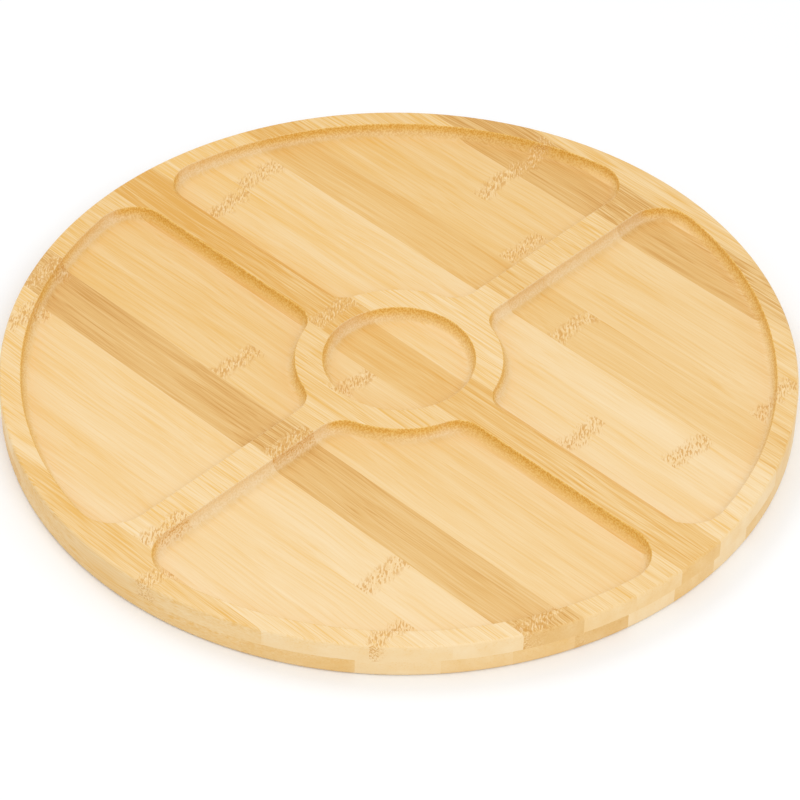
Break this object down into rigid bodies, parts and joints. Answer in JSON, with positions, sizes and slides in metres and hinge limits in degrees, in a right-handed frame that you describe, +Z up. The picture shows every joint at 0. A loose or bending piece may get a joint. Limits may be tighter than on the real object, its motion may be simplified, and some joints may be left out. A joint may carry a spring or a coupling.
{
  "type": "chip and dip server",
  "caption": "Round flat serving board glued up from bamboo strips, with quarter-ring food pockets cut around a round dip well in the middle.",
  "frame": {"origin": "centre of the flat underside", "axes": "+Z up out of the pockets, +X along the grain and one pair of dividers, +Y across the strips"},
  "size_m": [0.33, 0.33, 0.016],
  "materials": {
    "pale_bamboo": "fine sanded, light food-safe oil",
    "golden_bamboo": "fine sanded, light food-safe oil",
    "warm_bamboo": "fine sanded, light food-safe oil",
    "brown_bamboo": "fine sanded, light food-safe oil"
  },
  "bodies": {
    "root": {"top_ply_strip_01": "golden_bamboo", "top_ply_strip_02": "pale_bamboo", "top_ply_strip_03": "pale_bamboo", "top_ply_strip_04": "pale_bamboo", "top_ply_strip_05": "brown_bamboo", "top_ply_strip_06": "golden_bamboo", "top_ply_strip_07": "golden_bamboo", "top_ply_strip_08": "warm_bamboo", "top_ply_strip_09": "pale_bamboo", "top_ply_strip_10": "pale_bamboo", "top_ply_strip_11": "warm_bamboo", "top_ply_strip_12": "golden_bamboo", "top_ply_strip_13": "golden_bamboo", "top_ply_strip_14": "brown_bamboo", "top_ply_strip_15": "golden_bamboo", "bottom_ply_strip_01": "golden_bamboo", "bottom_ply_strip_02": "warm_bamboo", "bottom_ply_strip_03": "pale_bamboo", "bottom_ply_strip_04": "golden_bamboo", "bottom_ply_strip_05": "warm_bamboo", "bottom_ply_strip_06": "brown_bamboo", "bottom_ply_strip_07": "pale_bamboo", "bottom_ply_strip_08": "warm_bamboo", "bottom_ply_strip_09": "pale_bamboo", "bottom_ply_strip_10": "warm_bamboo", "bottom_ply_strip_11": "golden_bamboo", "bottom_ply_strip_12": "pale_bamboo", "bottom_ply_strip_13": "golden_bamboo", "bottom_ply_strip_14": "warm_bamboo", "bottom_ply_strip_15": "golden_bamboo"}
  },
  "joints": []
}
